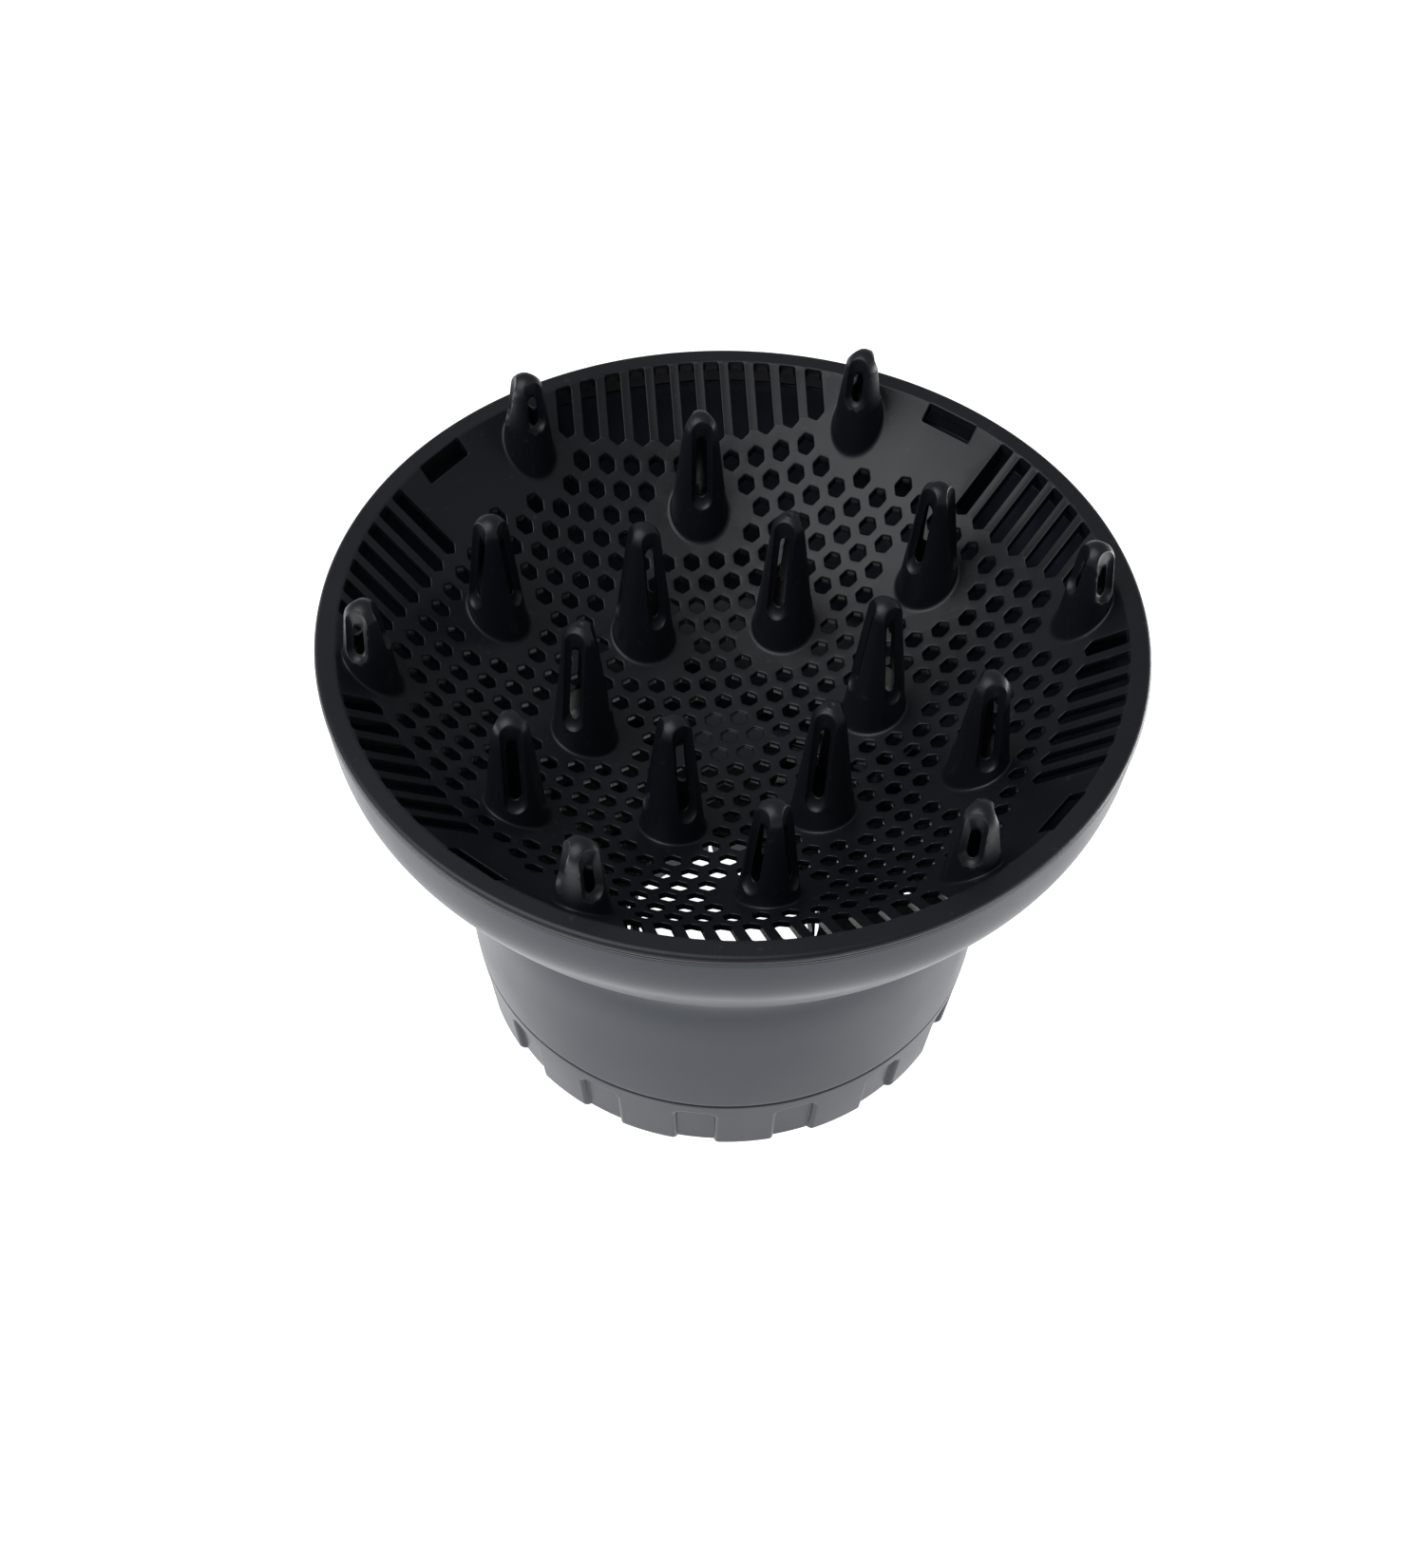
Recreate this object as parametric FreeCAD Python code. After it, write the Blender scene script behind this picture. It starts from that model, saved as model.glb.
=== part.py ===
"""Universal hair dryer diffuser: a bowl with a pronged grille over a neck with a turning grip ring.

Turning the ring slides six padded jaws in or out to hold the dryer's nozzle.
Units are mm. +Z is up, the origin is the centre of the base, and the jaws are modelled closed.
"""
import FreeCAD
import Part
import math
import os

V = FreeCAD.Vector
Z_AXIS = V(0, 0, 1)
ORIGIN = V(0, 0, 0)

# Overall
RIM_RADIUS = 84.7
RIM_Z = 111.4

# Grille bowl: a perforated spherical dish with a flat rim
DISH_LOW_Z = 75.25           # top face of the dish on the axis
DISH_SPHERE_RADIUS = 107.2   # radius of the dish's top face
DISH_WALL = 1.5
RIM_CORNER = 1.1
RIM_BAND_LOW_Z = 109.2
SKIRT_RADII = (81.2, 82.3)
SKIRT_LOW_Z = 105.0
SLOT_REACH = 80.4            # circle the edge slots run out to
WINDOW_RADII = (77.2, 80.2)
WINDOW_WIDTH = 12.2

# Hole lattice, seen from above
PITCH = 5.63
ROW = PITCH * math.sqrt(3) / 2
HOLE_FLATS = 3.4
LAST_ROW = 13
DIMPLE_DEPTH = 0.6
EDGE_SLOT_WIDTH = 3.4
EDGE_SLOT_INNER = 66.9

# Prongs: node name -> (pitch circle radius, first angle, tip centre z, foot radius, slot low z, slot high z)
PRONGS = {
    "inner_prongs": (31.2, 0.0, 109.5, 6.7, 87.0, 110.1),
    "middle_prongs": (54.6, 30.0, 114.8, 6.5, 98.7, 115.4),
    "outer_prongs": (74.0, 0.0, 120.7, 5.8, 113.9, 121.3),
}
PRONG_TIP_RADIUS = 3.75
PRONG_WALL = 1.5
PRONG_SLOT_WIDTH = 3.4
CLEAR_OF_PRONG = 1.57 * PITCH

# Shell: (radius, z) points up the outside
NECK_LOW_Z = 18.9
NECK_OUTSIDE = [(58.05, 18.9), (58.7, 30.0), (59.3, 42.0), (59.7, 54.0), (59.9, 60.0)]
BOWL_OUTSIDE = [(64.9, 69.5), (71.6, 77.6), (77.6, 86.2), (80.6, 91.6), (82.9, 96.6), (83.9, 102.0), (84.3, 109.0)]
SHELL_WALL = 2.3
LIP_RADIUS = 82.6
LIP_LOW_Z = 104.4
BOSS_CIRCLE = 47.5
BOSS_RADIUS = 3.2
BOSS_Z = (16.1, 34.0)

# Grip ring
RING_Z = (0.0, 18.6)
RING_RADII = (55.8, 58.0)    # outside, at the foot and at the top
RING_BORE = 53.0
RING_LEDGE = (47.8, 1.6, 3.1)        # inner radius, low z, high z
RING_BEAD = (51.4, 16.1, 17.6)
POCKETS = 16
POCKET_PHASE = 8.8
POCKET_DEPTH = 1.3
POCKET_SPAN = 10.8           # degrees
POCKET_HIGH_Z = 15.3

# Cam plate, fixed in the ring
CAM_RADII = (33.4, 52.8)
CAM_Z = (3.2, 6.2)
CAM_TURN = 60.0              # degrees of ring turn from closed to open
JAW_TRAVEL = 11.5
CAM_SLOT_WIDTH = 3.8

# Jaws
JAWS = 6
JAW_GRIP_RADIUS = 21.3
PAD_THICKNESS = 1.6
JAW_OUTER_RADIUS = 40.4
JAW_SIDE_GAP = 0.5
JAW_Z = (6.5, 12.5)
PIN_CIRCLE = 36.6
PIN_RADIUS = 1.8
PIN_LOW_Z = 3.5
RIB = (27.0, 39.6, 5.8, 14.6)        # inner radius, outer radius, width, high z

# Jaw carrier, fixed under the neck
CARRIER_RADII = (33.6, 52.6)
CARRIER_Z = (12.8, 15.8)
GUIDE_WIDTH = 6.0
GUIDE_REACH = 51.4

# Screws
CARRIER_SCREW = (1.3, 2.7, 1.6, 27.0)    # shank radius, head radius, head height, tip z
CAM_SCREW = (0.9, 1.7, 1.0, 5.9)
CAM_SCREW_CIRCLE = 50.6
SCREW_CLEARANCE = 0.05


def revolve(points):
    """Turn a closed outline of (r, z) points about the Z axis."""
    corners = [V(r, 0, z) for r, z in points]
    wire = Part.makePolygon(corners + [corners[0]])
    return Part.Face(wire).revolve(ORIGIN, Z_AXIS, 360)


def tube(r_in, r_out, z_low, z_high):
    return revolve([(r_in, z_low), (r_out, z_low), (r_out, z_high), (r_in, z_high)])


def rod(radius, z_low, z_high, x=0.0, y=0.0):
    return Part.makeCylinder(radius, z_high - z_low, V(x, y, z_low))


def block(x_low, x_high, width, z_low, z_high):
    """A box lying along +X, centred on y = 0."""
    return Part.makeBox(x_high - x_low, width, z_high - z_low, V(x_low, -width / 2, z_low))


def turned(shape, degrees):
    copy = shape.copy()
    copy.rotate(ORIGIN, Z_AXIS, degrees)
    return copy


def at_polar(shape, radius, degrees):
    copy = shape.copy()
    copy.translate(V(radius, 0, 0))
    copy.rotate(ORIGIN, Z_AXIS, degrees)
    return copy


def polar(radius, degrees):
    angle = math.radians(degrees)
    return radius * math.cos(angle), radius * math.sin(angle)


def dish_z(radius, offset=0.0):
    """Height of the dish's top face, or of a face `offset` below it."""
    centre = DISH_LOW_Z + DISH_SPHERE_RADIUS
    sphere = DISH_SPHERE_RADIUS + offset
    return centre - math.sqrt(sphere ** 2 - radius ** 2)


def prong_centres():
    for circle, first, _, _, _, _ in PRONGS.values():
        for k in range(6):
            yield polar(circle, first + 60 * k)


def lattice_sites():
    """Hole centres: every lattice site inside the hexagon, clear of the prongs and windows."""
    centres = list(prong_centres())
    for j in range(-LAST_ROW, LAST_ROW + 1):
        for i in range(-2 * LAST_ROW, 2 * LAST_ROW + 1):
            if (i + j) % 2:
                continue
            x = i * PITCH / 2
            y = j * ROW
            reach = max(abs(x * math.cos(math.radians(a)) + y * math.sin(math.radians(a))) for a in (30, 90, 150))
            if reach > LAST_ROW * ROW + 0.1:
                continue
            if min(math.hypot(x - px, y - py) for px, py in centres) < CLEAR_OF_PRONG:
                continue
            if abs(abs(x) - 7.5 * PITCH) < 0.1 and abs(abs(y) - 11 * ROW) < 0.1:
                continue
            yield x, y


def hexagon_prism(x, y, z_low, z_high):
    corner_radius = HOLE_FLATS / math.sqrt(3)
    corners = []
    for k in range(6):
        dx, dy = polar(corner_radius, 30 + 60 * k)
        corners.append(V(x + dx, y + dy, z_low))
    face = Part.Face(Part.makePolygon(corners + [corners[0]]))
    return face.extrude(V(0, 0, z_high - z_low))


def edge_slot(outer, offset):
    """A slot along +X with a square outer end and a pointed inner end, like half a hexagon."""
    half = EDGE_SLOT_WIDTH / 2
    shoulder = EDGE_SLOT_INNER + half * math.tan(math.radians(30))
    outline = [(EDGE_SLOT_INNER, 0), (shoulder, -half), (outer, -half), (outer, half), (shoulder, half)]
    corners = [V(x, y + offset, 85) for x, y in outline]
    return Part.Face(Part.makePolygon(corners + [corners[0]])).extrude(V(0, 0, 35))


def edge_slots():
    """The parallel slots round the edge, in six groups."""
    cutters = []
    groups = [(90, -5, 5), (270, -5, 5), (30, -5, 1), (330, -1, 5), (150, -1, 5), (210, -5, 1)]
    for direction, first, last in groups:
        for k in range(first, last + 1):
            offset = k * PITCH
            outer = math.sqrt(SLOT_REACH ** 2 - offset ** 2) - 0.3
            cutters.append(turned(edge_slot(outer, offset), direction))
    return cutters


def make_dish():
    centre_z = DISH_LOW_Z + DISH_SPHERE_RADIUS
    edge_top = math.sqrt(DISH_SPHERE_RADIUS ** 2 - (centre_z - RIM_Z) ** 2)
    lower_radius = DISH_SPHERE_RADIUS + DISH_WALL
    edge_low_z = dish_z(SKIRT_RADII[0], DISH_WALL)
    top_mid = V(edge_top / 2, 0, dish_z(edge_top / 2))
    low_mid = V(SKIRT_RADII[0] / 2, 0, dish_z(SKIRT_RADII[0] / 2, DISH_WALL))
    top_arc = Part.Arc(V(0, 0, DISH_LOW_Z), top_mid, V(edge_top, 0, RIM_Z)).toShape()
    low_arc = Part.Arc(V(SKIRT_RADII[0], 0, edge_low_z), low_mid, V(0, 0, centre_z - lower_radius)).toShape()
    corners = [
        (edge_top, RIM_Z),
        (RIM_RADIUS - RIM_CORNER, RIM_Z),
        (RIM_RADIUS - RIM_CORNER * 0.3, RIM_Z - RIM_CORNER * 0.3),
        (RIM_RADIUS, RIM_Z - RIM_CORNER),
        (RIM_RADIUS, RIM_Z - 1.5),
        (RIM_RADIUS - 0.2, RIM_Z - 1.7),
        (RIM_RADIUS - 0.2, RIM_BAND_LOW_Z),
        (SKIRT_RADII[1], RIM_BAND_LOW_Z),
        (SKIRT_RADII[1], SKIRT_LOW_Z),
        (SKIRT_RADII[0], SKIRT_LOW_Z),
        (SKIRT_RADII[0], edge_low_z),
    ]
    rim = Part.makePolygon([V(r, 0, z) for r, z in corners])
    axis = Part.makeLine(V(0, 0, centre_z - lower_radius), V(0, 0, DISH_LOW_Z))
    wire = Part.Wire([top_arc] + rim.Edges + [low_arc, axis])
    return Part.Face(wire).revolve(ORIGIN, Z_AXIS, 360)


def prong_outline(foot, tip_z, low_z, shrink):
    """Half outline of a prong: a cone with a round tip, offset inwards by `shrink`."""
    tip = PRONG_TIP_RADIUS - shrink
    cone_foot = foot - shrink
    start = V(0, 0, low_z)
    arc = Part.Arc(V(tip, 0, tip_z), V(tip * math.sqrt(0.5), 0, tip_z + tip * math.sqrt(0.5)), V(0, 0, tip_z + tip))
    edges = [
        Part.makeLine(start, V(cone_foot, 0, low_z)),
        Part.makeLine(V(cone_foot, 0, low_z), V(tip, 0, tip_z)),
        arc.toShape(),
        Part.makeLine(V(0, 0, tip_z + tip), start),
    ]
    return Part.Face(Part.Wire(edges)).revolve(ORIGIN, Z_AXIS, 360)


def prong_slot(z_low, z_high):
    """An upright slot with round ends, cut through one side of a prong on its -X side."""
    half = PRONG_SLOT_WIDTH / 2
    slot = Part.makeBox(10, PRONG_SLOT_WIDTH, z_high - z_low - 2 * half, V(-10.5, -half, z_low + half))
    for z in (z_low + half, z_high - half):
        slot = slot.fuse(Part.makeCylinder(half, 10, V(-10.5, 0, z), V(1, 0, 0)))
    return slot


def make_grille():
    """The perforated bowl and, as separate solids, its three circles of hollow prongs."""
    dish = make_dish()
    cutters = []
    for x, y in lattice_sites():
        low = dish_z(math.hypot(x, y)) - 8
        if math.hypot(x, y) < 1.1 * PITCH:
            low = dish_z(math.hypot(x, y)) - DIMPLE_DEPTH
        cutters.append(hexagon_prism(x, y, low, low + 16))
    cutters += edge_slots()
    window = block(*WINDOW_RADII, WINDOW_WIDTH, 98, 115)
    cutters += [turned(window, 45 + 90 * k) for k in range(4)]

    under_dish = Part.makeSphere(DISH_SPHERE_RADIUS, V(0, 0, DISH_LOW_Z + DISH_SPHERE_RADIUS))
    nodes = {}
    for name, (circle, first, tip_z, foot, slot_low, slot_high) in PRONGS.items():
        foot_z = dish_z(circle - foot) - 0.5
        low_z = foot_z - 6
        spread = (foot - PRONG_TIP_RADIUS) * (tip_z - low_z) / (tip_z - foot_z - 3)
        foot_low = PRONG_TIP_RADIUS + spread
        solid = prong_outline(foot_low, tip_z, low_z, 0)
        core = prong_outline(foot_low, tip_z, low_z, PRONG_WALL)
        slots = [turned(prong_slot(slot_low, slot_high), 120 * k) for k in range(3)]
        prong = solid.cut(core).cut(slots[0].fuse(slots[1:]))
        placed = [at_polar(prong, circle, first + 60 * k).common(under_dish) for k in range(6)]
        nodes[name] = Part.makeCompound([solid for shape in placed for solid in shape.Solids])
        cutters += [at_polar(core, circle, first + 60 * k) for k in range(6)]
    nodes["grille_bowl"] = dish.cut(Part.makeCompound(cutters))
    return nodes


def shell_profile():
    """The outside curve of the shell, from the neck's foot to the lip."""
    neck = [V(r, 0, z) for r, z in NECK_OUTSIDE]
    bowl = [V(r, 0, z) for r, z in BOWL_OUTSIDE]
    curve = Part.BSplineCurve()
    curve.interpolate(neck + bowl)
    return curve


def make_shell():
    outside = shell_profile()
    outside_edge = outside.toShape()
    span = outside.LastParameter - outside.FirstParameter
    samples = [outside.value(outside.FirstParameter + span * k / 40) for k in range(41)]
    inner = []
    for k in range(len(samples)):
        before = samples[max(k - 1, 0)]
        after = samples[min(k + 1, len(samples) - 1)]
        along = after.sub(before)
        along.normalize()
        point = V(samples[k].x - SHELL_WALL * along.z, 0, samples[k].z + SHELL_WALL * along.x)
        if NECK_LOW_Z < point.z < LIP_LOW_Z - 1.0:
            inner.append(point)
    inner = [V(inner[0].x, 0, NECK_LOW_Z)] + inner
    inside = Part.BSplineCurve()
    inside.interpolate(inner)
    top = inner[-1]
    closing = Part.makePolygon([
        V(samples[-1].x, 0, samples[-1].z),
        V(LIP_RADIUS, 0, samples[-1].z),
        V(LIP_RADIUS, 0, LIP_LOW_Z),
        V(top.x, 0, LIP_LOW_Z),
        top,
    ])
    foot = Part.makeLine(V(inner[0].x, 0, NECK_LOW_Z), V(samples[0].x, 0, NECK_LOW_Z))
    wire = Part.Wire([outside_edge] + closing.Edges + [inside.toShape(), foot])
    shell = Part.Face(wire).revolve(ORIGIN, Z_AXIS, 360)

    shank = CARRIER_SCREW[0] + SCREW_CLEARANCE
    boss = rod(BOSS_RADIUS, *BOSS_Z)
    web = block(1.5, NECK_OUTSIDE[0][0] - 1.2 - BOSS_CIRCLE, 1.8, NECK_LOW_Z + 0.6, BOSS_Z[1] - 4)
    boss = boss.fuse(web).cut(rod(shank, BOSS_Z[0] - 1, CARRIER_SCREW[3] + 1))
    bosses = [at_polar(boss, BOSS_CIRCLE, 30 + 60 * k) for k in range(6)]
    return shell.fuse(bosses).removeSplitter()


def make_grip_ring():
    low, high = RING_Z
    foot, top = RING_RADII
    ledge_r, ledge_low, ledge_high = RING_LEDGE
    bead_r, bead_low, bead_high = RING_BEAD
    ring = revolve([
        (RING_BORE, low), (foot - 0.8, low), (foot, low + 0.8), (top - 0.1, high - 0.7), (top - 0.8, high),
        (RING_BORE, high), (RING_BORE, bead_high + 0.6), (bead_r, bead_high), (bead_r, bead_low),
        (RING_BORE, bead_low), (RING_BORE, ledge_high), (ledge_r, ledge_high), (ledge_r, ledge_low),
        (RING_BORE, ledge_low),
    ])
    slope = (top - foot) / (high - low)
    half_span = math.radians(POCKET_SPAN / 2)
    half_width = foot * math.sin(half_span)
    pocket_floor = revolve([
        (foot - POCKET_DEPTH, low - 1), (foot + 8, low - 1), (foot + 8, POCKET_HIGH_Z),
        (foot - POCKET_DEPTH + slope * POCKET_HIGH_Z, POCKET_HIGH_Z),
    ])
    window = Part.makeBox(20, 2 * half_width, POCKET_HIGH_Z + 1, V(RING_BORE - 4, -half_width, low - 1))
    upper = [e for e in window.Edges if abs(e.tangentAt(e.FirstParameter).x) > 0.99 and e.CenterOfMass.z > 1]
    window = window.makeFillet(2.4, upper)
    pocket = window.common(pocket_floor)
    pockets = [turned(pocket, POCKET_PHASE + 360 / POCKETS * k) for k in range(POCKETS)]
    shank = CAM_SCREW[0] + SCREW_CLEARANCE
    holes = [rod(shank, 0, 5, *polar(CAM_SCREW_CIRCLE, a)) for a in cam_screw_angles()]
    return ring.cut(pockets + holes)


def cam_screw_angles():
    return [60 * k + 30 for k in range(6)]


def cam_slot(width, z_low, z_high):
    """One spiral slot. Its centre line moves out by JAW_TRAVEL over CAM_TURN degrees, clockwise from above."""
    steps = 24
    inner_side = []
    outer_side = []
    for k in range(steps + 1):
        part = k / steps
        turn = -math.radians(CAM_TURN) * part
        radius = PIN_CIRCLE + JAW_TRAVEL * part
        slope = -JAW_TRAVEL / math.radians(CAM_TURN)
        out = V(radius * math.cos(turn), radius * math.sin(turn), z_low)
        along = V(slope * math.cos(turn) - radius * math.sin(turn), slope * math.sin(turn) + radius * math.cos(turn), 0)
        along.normalize()
        side = V(along.y, -along.x, 0) * (width / 2)
        outer_side.append(out + side)
        inner_side.append(out - side)
    outer_curve = Part.BSplineCurve()
    outer_curve.interpolate(outer_side)
    inner_curve = Part.BSplineCurve()
    inner_curve.interpolate(inner_side)
    start = Part.makeLine(inner_side[0], outer_side[0])
    end = Part.makeLine(outer_side[-1], inner_side[-1])
    face = Part.Face(Part.Wire([outer_curve.toShape(), end, inner_curve.toShape(), start]))
    slot = face.extrude(V(0, 0, z_high - z_low))
    for part in (0.0, 1.0):
        x, y = polar(PIN_CIRCLE + JAW_TRAVEL * part, -CAM_TURN * part)
        slot = slot.fuse(rod(width / 2, z_low, z_high, x, y))
    return slot


def make_cam_plate():
    plate = tube(*CAM_RADII, *CAM_Z)
    slot = cam_slot(CAM_SLOT_WIDTH, CAM_Z[0] - 1, CAM_Z[1] + 1)
    slots = [turned(slot, 60 * k) for k in range(JAWS)]
    shank = CAM_SCREW[0] + SCREW_CLEARANCE
    holes = [rod(shank, CAM_Z[0] - 1, CAM_SCREW[3] + 0.1, *polar(CAM_SCREW_CIRCLE, a)) for a in cam_screw_angles()]
    return plate.cut(slots + holes)


def make_jaw():
    """The jaw that points along +X, and its grip pad."""
    low, high = JAW_Z
    pad_back = JAW_GRIP_RADIUS + PAD_THICKNESS
    sector = tube(JAW_GRIP_RADIUS, JAW_OUTER_RADIUS, low, high)
    wedge = Part.makeBox(60, 60, high - low + 2, V(JAW_SIDE_GAP / math.sin(math.radians(30)), 0, low - 1))
    left = wedge.copy()
    left.rotate(V(JAW_SIDE_GAP / math.sin(math.radians(30)), 0, 0), Z_AXIS, -60)
    right = wedge.copy()
    right.rotate(V(JAW_SIDE_GAP / math.sin(math.radians(30)), 0, 0), Z_AXIS, -30)
    sector = sector.common(left).common(right)
    pad = sector.common(rod(pad_back, low - 1, high + 1))
    body = sector.cut(rod(pad_back, low - 1, high + 1))
    rib_in, rib_out, rib_width, rib_high = RIB
    rib = block(rib_in, rib_out, rib_width, high - 0.5, rib_high)
    pin = rod(PIN_RADIUS, PIN_LOW_Z, low + 0.5, PIN_CIRCLE, 0)
    return body.fuse([rib, pin]), pad


def make_carrier():
    plate = tube(*CARRIER_RADII, *CARRIER_Z)
    guide = block(CARRIER_RADII[0] - 4, GUIDE_REACH, GUIDE_WIDTH, CARRIER_Z[0] - 1, CARRIER_Z[1] + 1)
    guides = [turned(guide, 60 * k) for k in range(JAWS)]
    shank = CARRIER_SCREW[0] + SCREW_CLEARANCE
    holes = [rod(shank, CARRIER_Z[0] - 1, CARRIER_Z[1] + 1, *polar(BOSS_CIRCLE, 30 + 60 * k)) for k in range(6)]
    return plate.cut(guides + holes)


def make_screws(spec, seat_z, circle, angles):
    """Pan-head screws with their heads under `seat_z` and a cross recess."""
    shank, head, head_height, tip_z = spec
    screw = rod(head, seat_z - head_height, seat_z)
    screw = screw.fuse(rod(shank, seat_z, tip_z))
    for turn in (0, 90):
        bar = Part.makeBox(head * 1.1, head * 0.28, head_height * 0.5, V(-head * 0.55, -head * 0.14, seat_z - head_height))
        screw = screw.cut(turned(bar, turn))
    return Part.makeCompound([at_polar(screw, circle, a) for a in angles])


def main():
    os.makedirs("parts", exist_ok=True)
    nodes = make_grille()
    nodes["shell"] = make_shell()
    nodes["grip_ring"] = make_grip_ring()
    nodes["cam_plate"] = make_cam_plate()
    nodes["jaw_carrier"] = make_carrier()
    jaw, pad = make_jaw()
    for k in range(JAWS):
        nodes["jaw_%d" % (k + 1)] = turned(jaw, 60 * k)
        nodes["grip_pad_%d" % (k + 1)] = turned(pad, 60 * k)
    nodes["carrier_screws"] = make_screws(CARRIER_SCREW, CARRIER_Z[0], BOSS_CIRCLE, [30 + 60 * k for k in range(6)])
    nodes["cam_screws"] = make_screws(CAM_SCREW, RING_LEDGE[1], CAM_SCREW_CIRCLE, cam_screw_angles())
    for name, shape in nodes.items():
        shape.exportStep("parts/%s.step" % name)


main()
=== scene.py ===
import math

import bmesh
import bpy
import numpy as np
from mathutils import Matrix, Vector
from mathutils.geometry import delaunay_2d_cdt


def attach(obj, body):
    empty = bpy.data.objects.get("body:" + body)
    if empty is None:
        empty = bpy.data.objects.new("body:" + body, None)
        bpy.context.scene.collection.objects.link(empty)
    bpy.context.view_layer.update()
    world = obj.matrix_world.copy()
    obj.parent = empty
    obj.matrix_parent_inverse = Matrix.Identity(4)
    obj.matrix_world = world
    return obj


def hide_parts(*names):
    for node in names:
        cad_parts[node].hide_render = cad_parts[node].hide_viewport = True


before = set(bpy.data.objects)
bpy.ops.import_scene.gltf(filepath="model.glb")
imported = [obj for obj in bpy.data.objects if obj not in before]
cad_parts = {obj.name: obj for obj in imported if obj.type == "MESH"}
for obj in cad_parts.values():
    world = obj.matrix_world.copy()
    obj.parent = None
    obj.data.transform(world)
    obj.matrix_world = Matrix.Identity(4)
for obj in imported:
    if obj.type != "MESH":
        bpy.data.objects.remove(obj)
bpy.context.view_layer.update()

MM = 0.001

# ---------------------------------------------------------------- dimensions, in mm
RIM_RADIUS = 84.7
RIM_Z = 111.4

# The dish: a sphere that rolls over a small convex arc into the flat rim
DISH_LOW_Z = 75.25
DISH_SPHERE = 107.2
DISH_WALL = 1.5
ROLL = 0.8
DISH_CENTRE_Z = DISH_LOW_Z + DISH_SPHERE
ROLL_CENTRE_R = math.sqrt((DISH_SPHERE + ROLL) ** 2 - (DISH_CENTRE_Z - RIM_Z + ROLL) ** 2)
ROLL_START_R = ROLL_CENTRE_R * DISH_SPHERE / (DISH_SPHERE + ROLL)
PLATE_RING = 80.85
PLATE_EDGE = 81.2
PLATE_STEPS = 360
RIM_CORNER = 1.1
RIM_LOW_Z = 109.2
SKIRT_OUT = 82.3
SKIRT_LOW_Z = 105.0

# Holes
PITCH = 5.63
ROW = PITCH * math.sqrt(3) / 2
LAST_ROW = 13
NO_HOLE = (7.5 * PITCH, 11 * ROW)
HOLE_FLATS = 3.4
HOLE_CORNER = 0.45
HOLE_EDGE = 0.28
DIMPLE_DEPTH = 0.6
DIMPLE_REACH = 1.1 * PITCH
SLOT_WIDTH = 3.4
SLOT_CORNER = 0.45
SLOT_INNER = 66.9
SLOT_REACH = 80.2
WINDOW = (77.2, 80.2, 12.2)
WINDOW_CORNER = 0.35
SLOT_GROUPS = [(90, -5, 5), (270, -5, 5), (30, -5, 1), (330, -1, 5), (150, -1, 5), (210, -5, 1)]

# Prongs: circle radius, first angle, tip centre z, foot radius, and the slots' ends from the tip centre:
# low and high at the inner face, low and high at the outer face
PRONGS = {
    "inner_prongs": (31.2, 0.0, 109.5, 6.7, (-19.7, -1.0, -22.4, 3.25)),
    "middle_prongs": (54.6, 30.0, 114.8, 6.5, (-16.5, -1.1, -19.1, 3.25)),
    "outer_prongs": (74.0, 0.0, 120.7, 5.8, (-7.8, -0.6, -8.9, 3.3)),
}
TIP_RADIUS = 3.75
PRONG_WALL = 1.5
PRONG_FILLET = 0.85
DOME_START = 67.0
PRONG_SLOT_OUT = 4.6
PRONG_SLOT_IN = 3.4
# Steps down a prong slot's hollow: share of the way from the outer to the inner outline, and depth
SLOT_HOLLOW = [(0.012, 0.03), (0.03, 0.12), (0.07, 0.35), (0.18, 0.80), (0.50, 1.25), (0.78, 1.43)]
PRONG_CLEAR = 1.57 * PITCH
GATE_MARKS = (60, 180, 300)
# The mark where the mould was filled: radius, and height over the dome
GATE_RING = [(1.12, 0.0), (1.0, 0.14), (0.72, 0.14), (0.6, -0.02)]
CONE_ROWS = 8
DOME_ROWS = 10
DOME_STEP = 0.52
ANGLE_SCALE = 5.0
SLOT_ROOM = 0.35
COLUMNS = 48

# Shell: (radius, z) points up the outside
NECK_LOW_Z = 18.9
NECK_OUTSIDE = [(58.05, 18.9), (58.7, 30.0), (59.3, 42.0), (59.7, 54.0), (59.9, 60.0)]
BOWL_OUTSIDE = [(64.9, 69.5), (71.6, 77.6), (77.6, 86.2), (80.6, 91.6)]
BOWL_OUTSIDE += [(82.9, 96.6), (83.9, 102.0), (84.3, 109.0)]
SHELL_WALL = 2.3
LIP_RADIUS = 82.6
LIP_LOW_Z = 104.4
BOSS_CIRCLE = 47.5
BOSS_RADIUS = 3.2
BOSS_Z = (16.1, 34.0)
BOSS_BORE = 1.35
WEB_OUTER = (56.6, 57.2)
WEB_HALF = 0.9
WEB_EDGE = 0.25

# Grip ring
RING_HIGH_Z = 18.6
RING_RADII = (55.8, 58.0)
RING_BORE = 53.0
RING_LEDGE = (47.8, 1.6, 3.1)
RING_BEAD = (51.4, 16.1, 17.6)
POCKETS = 16
POCKET_PHASE = 8.8
POCKET_DEPTH = 1.3
POCKET_SPAN = 10.8
POCKET_HIGH_Z = 15.3
POCKET_CORNER = 3.0
POCKET_EDGE = 1.1
FOOT_ROUND = 0.9
TOP_ROUND = 0.6

# Jaws
JAW_GRIP_RADIUS = 21.3
PAD_THICKNESS = 1.6
JAW_SIDE_GAP = 0.5
JAW_Z = (6.5, 12.5)
PAD_COLUMNS = 78
RIDGE_COLUMNS = 6
RIDGE_DEPTH = 0.32

# Floor and light: glow under the object and far from it, and where it starts and ends to fall, in metres
FLOOR_GLOW = (1.12, 0.86)
GLOW_REACH = (0.06, 0.26)
WORLD_LIGHT = 0.27


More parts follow.
